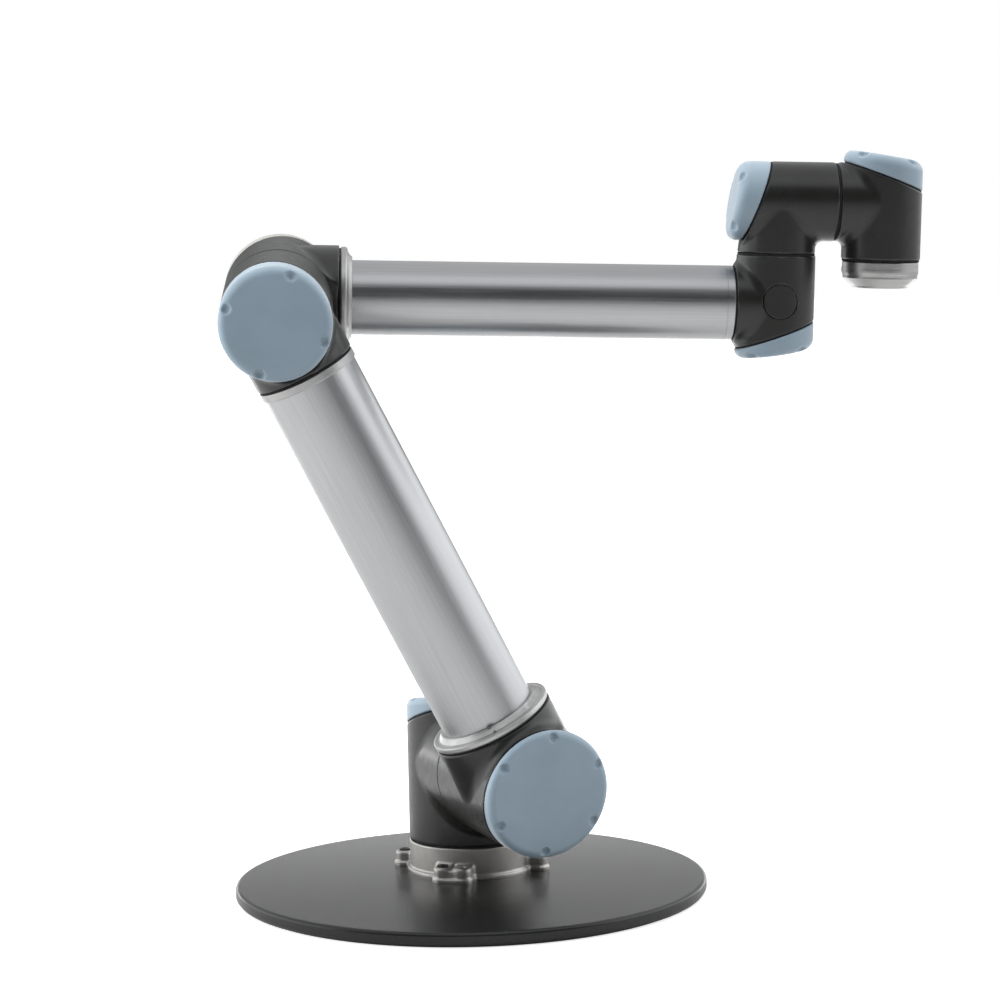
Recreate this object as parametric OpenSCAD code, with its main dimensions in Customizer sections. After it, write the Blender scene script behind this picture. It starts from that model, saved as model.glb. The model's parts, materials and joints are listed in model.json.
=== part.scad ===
// Six-axis collaborative robot arm on a round weighted stand.
// Millimetres, +Z up. The origin is the centre of the stand's underside, on the floor.
// At rest the upper arm leans back to -X and the forearm reaches out level to +X.

/* [Stand] */
// Radius of the weighted disc
disc_r = 283; // [250:1:310]
// Height of the disc's top above the floor
disc_top = 18; // [16:1:24]
// How far the arm's vertical axis stands behind the centre of the disc
column_back = 60; // [40:1:80]
// Height of the shoulder axis above the floor
shoulder_h = 153; // [150:1:170]
// Radius of the bolt circle of the base flange
lug_circle_r = 85; // [84:1:88]

/* [Joint sizes] */
// Outer radius of the base and shoulder joints
big_r = 75; // [74:1:77]
// Outer radius of the elbow joint
mid_r = 63; // [61:1:64]
// Outer radius of the wrist joints
small_r = 45.5; // [44.5:0.5:46.5]
// Slope of the seam under each lid, in degrees
seam_slope = 20; // [16:1:22]
// Slope of each lid's end face, in degrees
face_slope = 8.5; // [6:0.5:10]

/* [Arm] */
// Distance from the shoulder axis to the elbow axis
upper_len = 619; // [500:1:700]
// Distance from the elbow axis to the first wrist axis
fore_len = 574; // [450:1:650]
// Outer radius of the upper arm tube
upper_tube_r = 55.5; // [52:0.5:57]
// Outer radius of the forearm tube
fore_tube_r = 42.8; // [40:0.1:43.5]
// Distance from the arm's vertical axis to the shoulder joint's seam
shoulder_seam_out = 96.5; // [90:0.5:100]
// Distance between the planes of the upper arm tube and the forearm tube
elbow_step = 123; // [122:1:130]

/* [Wrist] */
// Distance from the forearm's axis up to the second wrist axis
wrist_2_rise = 118; // [116:0.5:121]
// Distance from the first wrist axis out to the third wrist axis
wrist_3_out = 122; // [118:0.5:124]
// Distance from the second wrist axis down to the tool face
tool_drop = 98; // [96:1:104]
// Radius of the tool flange's bolt circle
tool_circle_r = 25; // [24.5:0.5:25]

/* [Pose at rest] */
// Heading of the shoulder axis, turned from -Y towards +X
base_heading = 20.3; // [0:0.1:30]
// Lean of the upper arm from upright
shoulder_lean = 27.3; // [20:0.1:40]
// Clocking of the elbow joint about the upper arm tube
elbow_clock = -19.6; // [-25:0.1:-10]
// Turn of the forearm about the elbow axis
elbow_turn = 28.0; // [20:0.1:35]
// Roll of the first wrist joint about the forearm tube
wrist_roll = -6.9; // [-10:0.1:0]

/* [Hidden] */
$fn = 96;

// colours
lid_blue = [0.54, 0.61, 0.67];
casting_grey = [0.26, 0.26, 0.24];
satin_silver = [0.72, 0.72, 0.73];
cast_silver = [0.62, 0.61, 0.58];
disc_black = [0.07, 0.07, 0.07];
seal_black = [0.04, 0.04, 0.05];
steel = [0.55, 0.56, 0.58];
gear_steel = [0.48, 0.47, 0.45];
copper = [0.72, 0.45, 0.2];

eps = 0.01;
pad_t = 2;
disc_edge = 4;
joint_gap = 2.8;
seal_t = 2.4;
hub_flange_t = 6;
hub_clear = 0.05;
air_gap = 0.8;
seam_d = 95.5;
ring_gap = 2;
base_seam_z = shoulder_h - seam_d;
lug_heading = -105;
lug_r = 11;
lug_h = 20;
lug_root = big_r - 5;
foot_h = 4;
bolt_seat = disc_top + 13;
lug_hole_r = 4.25;
bolt_r = 4;
dowel_pitch = 24;

// One joint size: radius, wall, end web, hub radius, hub bore, gear height, motor height, lid screws
big = [big_r, 7, 8, 32, 14, 32, 40, 6];
mid = [mid_r, 6, 7, 27, 12, 22, 27, 4];
small = [small_r, 4.5, 5, 18, 8, 17, 24, 4];
function radius(s) = s[0];
function wall(s) = s[1];
function web(s) = s[2];
function hub_r(s) = s[3];
function hub_bore(s) = s[4];
function gear_h(s) = s[5];
function motor_h(s) = s[6];
function screws(s) = s[7];
function inner_r(s) = radius(s) - wall(s);
function hub_flange_r(s) = hub_r(s) + 0.14 * radius(s);
function screw_circle(s) = 0.86 * radius(s);

// Each joint, and the casting behind the elbow: size, distance down to the joint seam, height of the
// lid seam, height of the lid face, port radius and how far the port reaches from the joint's axis
base_j = [big, seam_d, 52.5, 78, 74, shoulder_seam_out - joint_gap];
shoulder_j = [big, seam_d, 52.5, 78, 72, 84.5];
elbow_seam = 66;
elbow_j = [mid, elbow_seam, 34, 60, 58, 67];
casting_j = [mid, elbow_step - elbow_seam - joint_gap, 46, 71, 59.5, 69];
wrist_1_seam = wrist_2_rise - 62;
wrist_1_j = [small, wrist_1_seam, 36, 58.5, 43.6, 48.8];
wrist_2_seam = 65;
wrist_2_j = [small, wrist_2_seam, 25.5, 52.5, 44.6, wrist_2_rise - wrist_1_seam - joint_gap];
wrist_3_seam = 65;
wrist_3_j = [small, wrist_3_seam, 29.5, 54.5, 44.6, wrist_3_out - wrist_2_seam - joint_gap];
function size(j) = j[0];
function seam(j) = j[1];
function lid_at(j) = j[2];
function lid_face(j) = j[3];
function port_r(j) = j[4];
function port_out(j) = j[5];
shoulder_out = shoulder_seam_out + seam(shoulder_j);

// ---- frames of the parts at rest, each inside the one before ----
module turret_frame() {
    translate([0, column_back, shoulder_h]) rotate([0, 0, base_heading]) children();
}
module upper_frame() {
    turret_frame() translate([0, -shoulder_out, 0]) rotate([0, -shoulder_lean, 0]) children();
}
module elbow_frame() {
    upper_frame() translate([0, 0, upper_len]) rotate([0, 0, elbow_clock]) children();
}
module fore_frame() {
    elbow_frame() translate([0, elbow_step, 0]) rotate([0, elbow_turn, 0]) children();
}
module wrist_frame() {
    fore_frame() translate([fore_len, 0, 0]) rotate([wrist_roll, 0, 0]) children();
}

// Joint frames: +Z runs from the joint seam to the lid, +X runs out of the port
module at_base() {
    turret_frame() rotate([0, 0, -90]) children();
}
module at_shoulder() {
    upper_frame() rotate([90, 0, 0]) rotate([0, 0, 90]) children();
}
module at_elbow() {
    elbow_frame() rotate([90, 0, 0]) rotate([0, 0, -90]) children();
}
module at_casting() {
    fore_frame() rotate([-90, 0, 0]) children();
}
module at_wrist_1() {
    wrist_frame() rotate([0, 180, 0]) children();
}
module at_wrist_2() {
    wrist_frame() translate([0, 0, wrist_2_rise]) rotate([0, -90, 0]) rotate([0, 0, 180]) children();
}
module at_wrist_3() {
    wrist_frame() translate([wrist_3_out, 0, wrist_2_rise]) rotate([0, 0, 180]) children();
}

// ---- shapes shared by all joints ----
module along_x(r, from, to) {
    translate([from, 0, 0]) rotate([0, 90, 0]) cylinder(r = r, h = to - from);
}
module tube(outer, inner, from, to) {
    difference() {
        translate([0, 0, from]) cylinder(r = outer, h = to - from);
        translate([0, 0, from - 1]) cylinder(r = inner, h = to - from + 2);
    }
}
// Everything within radius r that lies above a plane at height z, which rises by slope towards +X
module above(r, z, slope) {
    intersection() {
        translate([0, 0, z - 2 * r]) cylinder(r = r, h = 4 * r);
        translate([0, 0, z]) rotate([0, -slope, 0]) translate([-3 * r, -3 * r, 0]) cube([6 * r, 6 * r, 4 * r]);
    }
}
function plane_z(z, slope, x) = z + x * tan(slope);
module at_lid_screws(j) {
    n = screws(size(j));
    for (i = [0 : n - 1]) {
        a = (i + 0.5) * 360 / n;
        x = screw_circle(size(j)) * cos(a);
        y = screw_circle(size(j)) * sin(a);
        translate([x, y, plane_z(lid_at(j), seam_slope, x)]) children();
    }
}

// Casting of one joint: a can for the motor with a port at its side. driver is the joint size whose
// output hub bolts into the port's end, or undef where a tube is bolted on.
module joint_housing(j, driver) {
    s = size(j);
    r = radius(s);
    low = -seam(j);
    end = port_out(j);
    difference() {
        union() {
            translate([0, 0, low]) cylinder(r = r, h = seam(j) + lid_at(j) + r);
            along_x(port_r(j), 0, end);
        }
        above(r + 0.3, lid_at(j), seam_slope);
        difference() {
            translate([0, 0, low + web(s)]) cylinder(r = inner_r(s), h = seam(j) + lid_at(j) + r);
            at_lid_screws(j) translate([0, 0, -14]) cylinder(r = 5, h = 40);
        }
        at_lid_screws(j) translate([0, 0, -10]) cylinder(r = 1.9, h = 30, $fn = 24);
        translate([0, 0, low - 1]) cylinder(r = hub_r(s) + 0.5, h = web(s) + 2);
        along_x(port_r(j) - wall(s), 0, end - web(s) - hub_flange_t);
        along_x(0.3 * r, 0, end + 1);
        if (driver != undef) {
            along_x(hub_flange_r(driver) + 0.2, end - hub_flange_t, end + 1);
        }
    }
}
// The outer form of a lid, with its face lowered and its side drawn in by inset
module lid_form(j, inset) {
    r = radius(size(j));
    face = lid_face(j) - inset;
    edge = 0.15 * r;
    intersection() {
        translate([0, 0, -r]) cylinder(r = r - inset, h = 4 * r);
        translate([0, 0, face]) rotate([0, -face_slope, 0]) translate([0, 0, -3 * r])
            cylinder(r1 = r - edge - inset + 3 * r * 1.1, r2 = r - edge - inset, h = 3 * r);
    }
}
module joint_lid(j) {
    r = radius(size(j));
    shell = 3;
    difference() {
        intersection() {
            lid_form(j, 0);
            above(r + 1, lid_at(j) + eps, seam_slope);
        }
        difference() {
            lid_form(j, shell);
            at_lid_screws(j) translate([0, 0, -20]) cylinder(r = 6, h = 70);
        }
        at_lid_screws(j) translate([0, 0, -20]) cylinder(r = 2.2, h = 70, $fn = 24);
        at_lid_screws(j) translate([0, 0, 4]) cylinder(r = 3.8, h = 70, $fn = 32);
    }
}
module joint_lid_screws(j) {
    at_lid_screws(j) {
        difference() {
            union() {
                translate([0, 0, -9]) cylinder(r = 1.85, h = 14, $fn = 24);
                translate([0, 0, 4]) cylinder(r = 3.3, h = 3, $fn = 32);
            }
            translate([0, 0, 5.2]) cylinder(r = 1.6, h = 3, $fn = 6);
        }
    }
}
module joint_seal(j) {
    r = radius(size(j));
    tube(r - 0.9, r - 7, -seam(j) - seal_t, -seam(j));
}
// Strain wave gear: a ring seated on the end web, whose bore carries the output hub
module joint_gear(j) {
    s = size(j);
    low = -seam(j) + web(s);
    r = inner_r(s) - 0.4;
    difference() {
        union() {
            translate([0, 0, low]) cylinder(r = r, h = 0.7 * gear_h(s));
            translate([0, 0, low]) cylinder(r = 0.86 * r, h = gear_h(s));
        }
        translate([0, 0, low - 1]) cylinder(r = hub_r(s) + hub_clear, h = gear_h(s) + 2);
    }
}
// Hollow-shaft motor: a wound stator ring and the rotor that turns inside it
module joint_motor(j) {
    s = size(j);
    low = -seam(j) + web(s) + gear_h(s);
    rotor_r = 0.62 * inner_r(s);
    color(copper) tube(0.84 * inner_r(s), rotor_r + air_gap, low, low + motor_h(s));
    color(steel) tube(rotor_r, hub_bore(s), low + 3, low + motor_h(s) - 2);
}
// Output hub: a flange let into the next part, and a hollow shaft up through the gear
module joint_hub(j) {
    s = size(j);
    low = -seam(j) - joint_gap;
    difference() {
        union() {
            translate([0, 0, low - hub_flange_t]) cylinder(r = hub_flange_r(s), h = hub_flange_t);
            translate([0, 0, low - 1]) cylinder(r = hub_r(s), h = joint_gap + web(s) + gear_h(s) - 1);
        }
        translate([0, 0, low - hub_flange_t - 1]) cylinder(r = hub_bore(s), h = 200);
    }
}

// ---- stand ----
module weighted_disc() {
    color(disc_black) difference() {
        rotate_extrude($fn = 180) polygon(concat(
            [[0, pad_t], [disc_r - disc_edge, pad_t]],
            [for (a = [-80 : 20 : 80]) [disc_r - disc_edge + disc_edge * cos(a),
                (disc_top + pad_t) / 2 + ((disc_top - pad_t) / 2) * sin(a)]],
            [[disc_r - disc_edge, disc_top], [0, disc_top]]));
        at_lugs() translate([0, 0, pad_t + 2]) cylinder(r = bolt_r + 0.1, h = disc_top, $fn = 32);
    }
}
module rubber_pad() {
    color(seal_black) cylinder(r = disc_r - 8, h = pad_t, $fn = 180);
}
// The four bolt places of the base flange, at z = 0 under the arm's vertical axis
module at_lugs() {
    translate([0, column_back, 0]) {
        for (i = [0 : 3]) {
            shift = i % 2 == 0 ? -dowel_pitch / 2 : 0;
            rotate([0, 0, lug_heading + 90 * i]) translate([lug_circle_r, shift, 0]) children();
        }
    }
}
module at_dowels() {
    translate([0, column_back, 0]) {
        for (i = [0, 2]) {
            rotate([0, 0, lug_heading + 90 * i]) translate([lug_circle_r, dowel_pitch / 2, 0]) children();
        }
    }
}
// The bolt lugs: blocks out from the ring to bosses of radius r, double where there is a dowel
module bolt_lugs(r, h) {
    flat = r - 0.3;
    translate([0, column_back, disc_top]) {
        for (i = [0 : 3]) {
            half = i % 2 == 0 ? dowel_pitch / 2 : 0;
            rotate([0, 0, lug_heading + 90 * i]) linear_extrude(height = h) {
                translate([lug_root, -half - flat]) square([lug_circle_r - lug_root, 2 * (half + flat)]);
                translate([lug_circle_r, -half]) circle(r = r);
                if (half > 0) {
                    translate([lug_root, -half]) square([lug_circle_r + flat - lug_root, 2 * half]);
                    translate([lug_circle_r, half]) circle(r = r);
                }
            }
        }
    }
}
module base_flange() {
    top = base_seam_z - joint_gap;
    ring_h = top - disc_top;
    color(cast_silver) difference() {
        union() {
            translate([0, column_back, disc_top]) cylinder(r = big_r, h = ring_h);
            translate([0, column_back, disc_top]) cylinder(r = big_r + 3, h = foot_h);
            bolt_lugs(lug_r, lug_h);
            bolt_lugs(lug_r + 2, foot_h);
        }
        translate([0, column_back, disc_top - 1]) cylinder(r = big_r - 8, h = ring_h - 11);
        translate([0, column_back, top - hub_flange_t]) cylinder(r = hub_flange_r(big) + 0.2, h = 20);
        translate([0, column_back, disc_top]) cylinder(r = 0.3 * big_r, h = ring_h + 1);
        at_lugs() translate([0, 0, disc_top - 1]) cylinder(r = lug_hole_r, h = 40, $fn = 32);
        at_lugs() translate([0, 0, bolt_seat]) cylinder(r = 7, h = 20, $fn = 32);
        at_dowels() translate([0, 0, disc_top - 1]) cylinder(r = 4, h = 40, $fn = 32);
        gland_place() along_x(8, -22, 2);
    }
}
module flange_bolts() {
    color(steel) at_lugs() difference() {
        union() {
            translate([0, 0, disc_top - 12]) cylinder(r = bolt_r, h = bolt_seat - disc_top + 13, $fn = 32);
            translate([0, 0, bolt_seat]) cylinder(r = 6.5, h = 6, $fn = 32);
        }
        translate([0, 0, bolt_seat + 3]) cylinder(r = 3.4, h = 4, $fn = 6);
    }
}
// Place of the cable gland, on the back of the base flange, +X outwards
module gland_place() {
    translate([0, column_back, disc_top + 17]) rotate([0, 0, 120]) translate([big_r, 0, 0]) children();
}
module cable_gland() {
    color(seal_black) gland_place() difference() {
        union() {
            along_x(7.9, -12, 1);
            along_x(11, 0.5, 6);
            along_x(9, 6, 18);
        }
        along_x(4.5, -13, 19);
    }
}

// ---- tubes and their rings ----
module upper_tube() {
    color(satin_silver) upper_frame()
        tube(upper_tube_r, upper_tube_r - 4, port_out(shoulder_j), upper_len - port_out(elbow_j));
}
module lower_tube_ring() {
    from = port_out(shoulder_j) + ring_gap;
    color(cast_silver) upper_frame() difference() {
        union() {
            translate([0, 0, from]) cylinder(r = 72, h = 9);
            translate([0, 0, from + 9]) cylinder(r1 = 64, r2 = upper_tube_r + 2, h = 4);
        }
        translate([0, 0, from - 1]) cylinder(r = upper_tube_r, h = 20);
    }
}
module upper_tube_ring() {
    end = upper_len - port_out(elbow_j) - 1.5 * ring_gap;
    color(satin_silver) upper_frame() tube(57.5, upper_tube_r, end - 9, end);
}
module forearm_tube() {
    from = port_out(casting_j);
    to = fore_len - port_out(wrist_1_j);
    color(satin_silver) fore_frame() rotate([0, 90, 0])
        tube(fore_tube_r, fore_tube_r - 3.5, from, to);
}
module forearm_ring() {
    from = port_out(casting_j) + ring_gap;
    color(satin_silver) fore_frame() rotate([0, 90, 0]) difference() {
        union() {
            translate([0, 0, from]) cylinder(r = 58, h = 6);
            translate([0, 0, from + 6]) cylinder(r1 = 55, r2 = fore_tube_r + 3, h = 7);
        }
        translate([0, 0, from - 1]) cylinder(r = fore_tube_r, h = 20);
    }
}

// ---- elbow casting: the first part of the forearm ----
module elbow_casting() {
    low = -seam(casting_j);
    color(casting_grey) at_casting() difference() {
        union() {
            joint_housing(casting_j);
            tube(mid_r - 3, 0.3 * mid_r, low, low + 14);
        }
        translate([0, 0, low - 1]) cylinder(r = hub_flange_r(mid) + 0.2, h = hub_flange_t + 1);
        translate([0, 0, low - 50]) cylinder(r = 2 * mid_r, h = 50);
    }
}

// ---- round plug in the side of the first wrist joint ----
plug_r = 19.5;
plug_up = 4;
module plug_hole(extra) {
    translate([0, small_r - 9, -plug_up]) rotate([-90, 0, 0])
        cylinder(r = plug_r + extra, h = 20, $fn = 64);
}
module wrist_1_plug() {
    color(casting_grey) at_wrist_1() rotate([0, 0, 180]) intersection() {
        plug_hole(0);
        difference() {
            cylinder(r = small_r, h = 60, center = true);
            cylinder(r = small_r - wall(small), h = 61, center = true);
        }
    }
}
module wrist_1_housing() {
    color(casting_grey) at_wrist_1() difference() {
        joint_housing(wrist_1_j);
        rotate([0, 0, 180]) plug_hole(0.3);
    }
}

// ---- tool flange ----
module tool_flange() {
    s = small;
    low = -wrist_3_seam - joint_gap;
    face = -tool_drop;
    color(satin_silver) at_wrist_3() difference() {
        union() {
            translate([0, 0, low - 18]) cylinder(r = 44, h = 18);
            translate([0, 0, face + 5]) cylinder(r1 = 33, r2 = 44, h = low - 18 - face - 5);
            translate([0, 0, face]) cylinder(r = 31.5, h = 6);
            translate([0, 0, low - 1]) cylinder(r = hub_r(s), h = joint_gap + web(s) + gear_h(s) - 1);
        }
        translate([0, 0, face - 1]) cylinder(r = 15.75, h = 7);
        translate([0, 0, face - 1]) cylinder(r = hub_bore(s), h = 200);
        for (i = [0 : 3]) {
            rotate([0, 0, 45 + 90 * i]) translate([tool_circle_r, 0, face - 1])
                cylinder(r = 2.5, h = 11, $fn = 32);
        }
        translate([-tool_circle_r, 0, face - 1]) cylinder(r = 3, h = 7, $fn = 32);
        connector_place() along_x(5.2, -6, 3);
    }
}
module connector_place() {
    translate([0, 0, -wrist_3_seam - joint_gap - 10]) rotate([0, 0, -35]) translate([44, 0, 0]) children();
}
module tool_connector() {
    color(seal_black) at_wrist_3() connector_place() difference() {
        union() {
            along_x(5.1, -6, 0);
            along_x(6.2, 0.2, 2.5);
        }
        along_x(3.5, -3, 3);
    }
}

weighted_disc();
rubber_pad();
base_flange();
flange_bolts();
cable_gland();
color(steel) at_base() joint_hub(base_j);  // base_hub

color(casting_grey) at_base() joint_housing(base_j, big);  // base_housing
color(lid_blue) at_base() joint_lid(base_j);  // base_lid
color(steel) at_base() joint_lid_screws(base_j);  // base_lid_screws
color(seal_black) at_base() joint_seal(base_j);  // base_seal
color(gear_steel) at_base() joint_gear(base_j);  // base_gear
at_base() joint_motor(base_j);  // base_motor
color(steel) at_shoulder() joint_hub(shoulder_j);  // shoulder_hub

color(casting_grey) at_shoulder() joint_housing(shoulder_j);  // shoulder_housing
color(lid_blue) at_shoulder() joint_lid(shoulder_j);  // shoulder_lid
color(steel) at_shoulder() joint_lid_screws(shoulder_j);  // shoulder_lid_screws
color(seal_black) at_shoulder() joint_seal(shoulder_j);  // shoulder_seal
color(gear_steel) at_shoulder() joint_gear(shoulder_j);  // shoulder_gear
at_shoulder() joint_motor(shoulder_j);  // shoulder_motor
lower_tube_ring();
upper_tube();
upper_tube_ring();

color(casting_grey) at_elbow() joint_housing(elbow_j);  // elbow_housing
color(lid_blue) at_elbow() joint_lid(elbow_j);  // elbow_lid
color(steel) at_elbow() joint_lid_screws(elbow_j);  // elbow_lid_screws
color(seal_black) at_elbow() joint_seal(elbow_j);  // elbow_seal
color(gear_steel) at_elbow() joint_gear(elbow_j);  // elbow_gear
at_elbow() joint_motor(elbow_j);  // elbow_motor
color(steel) at_elbow() joint_hub(elbow_j);  // elbow_hub

elbow_casting();
color(satin_silver) at_casting() joint_lid(casting_j);  // casting_lid
color(steel) at_casting() joint_lid_screws(casting_j);  // casting_lid_screws
forearm_ring();
forearm_tube();

wrist_1_housing();
color(lid_blue) at_wrist_1() joint_lid(wrist_1_j);  // wrist_1_lid
color(steel) at_wrist_1() joint_lid_screws(wrist_1_j);  // wrist_1_lid_screws
color(seal_black) at_wrist_1() joint_seal(wrist_1_j);  // wrist_1_seal
color(gear_steel) at_wrist_1() joint_gear(wrist_1_j);  // wrist_1_gear
at_wrist_1() joint_motor(wrist_1_j);  // wrist_1_motor
wrist_1_plug();
color(steel) at_wrist_1() joint_hub(wrist_1_j);  // wrist_1_hub

color(casting_grey) at_wrist_2() joint_housing(wrist_2_j, small);  // wrist_2_housing
color(lid_blue) at_wrist_2() joint_lid(wrist_2_j);  // wrist_2_lid
color(steel) at_wrist_2() joint_lid_screws(wrist_2_j);  // wrist_2_lid_screws
color(seal_black) at_wrist_2() joint_seal(wrist_2_j);  // wrist_2_seal
color(gear_steel) at_wrist_2() joint_gear(wrist_2_j);  // wrist_2_gear
at_wrist_2() joint_motor(wrist_2_j);  // wrist_2_motor
color(steel) at_wrist_2() joint_hub(wrist_2_j);  // wrist_2_hub

color(casting_grey) at_wrist_3() joint_housing(wrist_3_j, small);  // wrist_3_housing
color(lid_blue) at_wrist_3() joint_lid(wrist_3_j);  // wrist_3_lid
color(steel) at_wrist_3() joint_lid_screws(wrist_3_j);  // wrist_3_lid_screws
color(seal_black) at_wrist_3() joint_seal(wrist_3_j);  // wrist_3_seal
color(gear_steel) at_wrist_3() joint_gear(wrist_3_j);  // wrist_3_gear
at_wrist_3() joint_motor(wrist_3_j);  // wrist_3_motor
tool_flange();
tool_connector();
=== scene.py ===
"""Looks of the robot arm: castings, lids, tubes, flanges and stand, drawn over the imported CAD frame.

Shapes are worked out in millimetres, each in its own part's frame, and turned into metres when
their mesh is made. Castings and lids are distance fields, whose surface is meshed with its edges
kept; what is round is a turned outline.
"""
import json
import math
from types import SimpleNamespace

import bpy
import numpy as np
from mathutils import Matrix, Vector


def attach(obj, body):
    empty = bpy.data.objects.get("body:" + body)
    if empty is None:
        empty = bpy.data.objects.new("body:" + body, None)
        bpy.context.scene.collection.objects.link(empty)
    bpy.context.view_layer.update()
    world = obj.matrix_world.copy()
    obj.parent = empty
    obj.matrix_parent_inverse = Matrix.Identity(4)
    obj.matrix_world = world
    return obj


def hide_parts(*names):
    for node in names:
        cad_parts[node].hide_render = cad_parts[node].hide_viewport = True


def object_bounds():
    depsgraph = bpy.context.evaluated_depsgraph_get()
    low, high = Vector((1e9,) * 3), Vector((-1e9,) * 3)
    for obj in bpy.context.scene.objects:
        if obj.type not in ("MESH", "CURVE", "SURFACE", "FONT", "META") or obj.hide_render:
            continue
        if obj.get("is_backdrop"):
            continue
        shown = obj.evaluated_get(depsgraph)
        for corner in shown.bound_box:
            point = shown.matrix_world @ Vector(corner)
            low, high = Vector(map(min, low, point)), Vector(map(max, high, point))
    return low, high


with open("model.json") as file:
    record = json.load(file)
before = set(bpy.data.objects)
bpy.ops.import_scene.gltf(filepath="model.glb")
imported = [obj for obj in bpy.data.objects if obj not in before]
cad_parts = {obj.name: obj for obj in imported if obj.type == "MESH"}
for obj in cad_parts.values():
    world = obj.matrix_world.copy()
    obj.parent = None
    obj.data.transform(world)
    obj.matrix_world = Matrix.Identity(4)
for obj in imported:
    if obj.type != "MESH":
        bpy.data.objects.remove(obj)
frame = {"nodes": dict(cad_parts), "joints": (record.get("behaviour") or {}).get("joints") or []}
cad_low, cad_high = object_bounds()

MM = 0.001
EDGE = 1.4  # rounding of a casting's machined edges
SEAM_GAP = 1.0  # half the dark gap between a lid and its casting
SEAM_SLOPE = math.radians(20)
FACE_SLOPE = math.radians(8.5)
JOINT_GAP = 2.8


# ---- joints, and the frames of the parts ----
def seat(origin, z, x):
    """A part's frame: its origin in metres, its Z along z and its X along x."""
    z = Vector(z).normalized()
    y = z.cross(Vector(x)).normalized()
    place = Matrix((y.cross(z), y, z)).transposed().to_4x4()
    place.translation = Vector(origin)
    return place


AT = {j["name"].replace("_joint", ""): Vector(j["pos_m"]) for j in frame["joints"]}
AXIS = {j["name"].replace("_joint", ""): Vector(j["axis"]) for j in frame["joints"]}
ELBOW_STEP = 123 * MM
fore_origin = AT["elbow"] - AXIS["elbow"] * ELBOW_STEP
upper_way = (AT["elbow"] - AT["shoulder"]).normalized()
fore_way = (AT["wrist_1"] - fore_origin).normalized()
UPPER_LEN = (AT["elbow"] - AT["shoulder"]).length / MM
FORE_LEN = (AT["wrist_1"] - fore_origin).length / MM
UPPER = seat(AT["shoulder"], upper_way, AXIS["shoulder"])
FORE = seat(fore_origin, fore_way, AXIS["elbow"])
stand_place = Matrix.Translation((AT["base"].x, AT["base"].y, 0))

# Joint sizes: radius, wall, end web, hub radius, lid screws, fillet at the port, lid edge, mesh cell
BIG = SimpleNamespace(r=75, wall=7, web=8, hub_r=32, screws=6, fillet=12, lid_edge=9, cell=2.0)
MID = SimpleNamespace(r=63, wall=6, web=7, hub_r=27, screws=4, fillet=10, lid_edge=10, cell=1.8)
SMALL = SimpleNamespace(r=45.5, wall=4.5, web=5, hub_r=18, screws=4, fillet=9, lid_edge=12, cell=1.5)


def module(body, size, place, seam, lid_at, lid_face, port_r, port_out, driver=None):
    """One joint. Its Z runs from its joint seam to its lid and its X out of its port."""
    return SimpleNamespace(**locals())


MODULES = {
    "base": module(
        "turret", BIG, seat(AT["base"], AXIS["base"], AXIS["shoulder"]),
        seam=95.5, lid_at=52.5, lid_face=78, port_r=74, port_out=93.7, driver=BIG),
    "shoulder": module(
        "upper_arm", BIG, seat(AT["shoulder"], AXIS["shoulder"], upper_way),
        seam=95.5, lid_at=52.5, lid_face=78, port_r=72, port_out=84.5),
    "elbow": module(
        "upper_arm", MID, seat(AT["elbow"], AXIS["elbow"], -upper_way),
        seam=66, lid_at=34, lid_face=60, port_r=58, port_out=67),
    "casting": module(
        "forearm", MID, seat(fore_origin, -AXIS["elbow"], fore_way),
        seam=54.2, lid_at=46, lid_face=71, port_r=59.5, port_out=69),
    "wrist_1": module(
        "forearm", SMALL, seat(AT["wrist_1"], -AXIS["wrist_1"], -fore_way),
        seam=56, lid_at=36, lid_face=58.5, port_r=43.6, port_out=48.8),
    "wrist_2": module(
        "wrist_1_link", SMALL, seat(AT["wrist_2"], -AXIS["wrist_2"], -AXIS["wrist_1"]),
        seam=65, lid_at=25.5, lid_face=52.5, port_r=44.6, port_out=59.2, driver=SMALL),
    "wrist_3": module(
        "wrist_2_link", SMALL, seat(AT["wrist_3"], -AXIS["wrist_3"], -AXIS["wrist_2"]),
        seam=65, lid_at=29.5, lid_face=54.5, port_r=44.6, port_out=54.2, driver=SMALL),
}


# ---- distance fields: each takes points as rows and gives a distance, below 0 inside ----
# as shares of a joint's radius: the circle of its lid screws, and the bore for the cables
SCREW_CIRCLE, CABLE_BORE = 0.86, 0.3
SCREW_BOSS_R, LID_BOSS_R, POCKET_R, POCKET_DEPTH = 5, 6.5, 2.8, 2.8
ELBOW_FLOOR = 14  # the elbow casting's floor is thick, as the elbow's output hub is let into it
HUB_FIT, RECESS = 0.2, 6  # play round an output hub's flange, and how deep it is let in
PLUG_R, PLUG_UP = 19.5, 4


def join(a, b, r):
    """Both shapes, with a fillet of radius r where they meet."""
    return np.maximum(r, np.minimum(a, b)) - np.hypot(np.maximum(r - a, 0), np.maximum(r - b, 0))


def cut(a, b, r):
    """What both shapes share, with its edge rounded to radius r."""
    return -join(-a, -b, r)


def tilted(p, z, slope):
    """Height over a plane at z on the axis, which rises by slope towards +X."""
    return (p[:, 2] - z - p[:, 0] * math.tan(slope)) * math.cos(slope)


def lid_screws(m):
    """Where the screws of a joint's lid stand: x and y of each."""
    for i in range(m.size.screws):
        a = math.radians((i + 0.5) * 360 / m.size.screws)
        yield SCREW_CIRCLE * m.size.r * math.cos(a), SCREW_CIRCLE * m.size.r * math.sin(a)


def hub_flange_r(size):
    return size.hub_r + 0.14 * size.r


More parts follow.
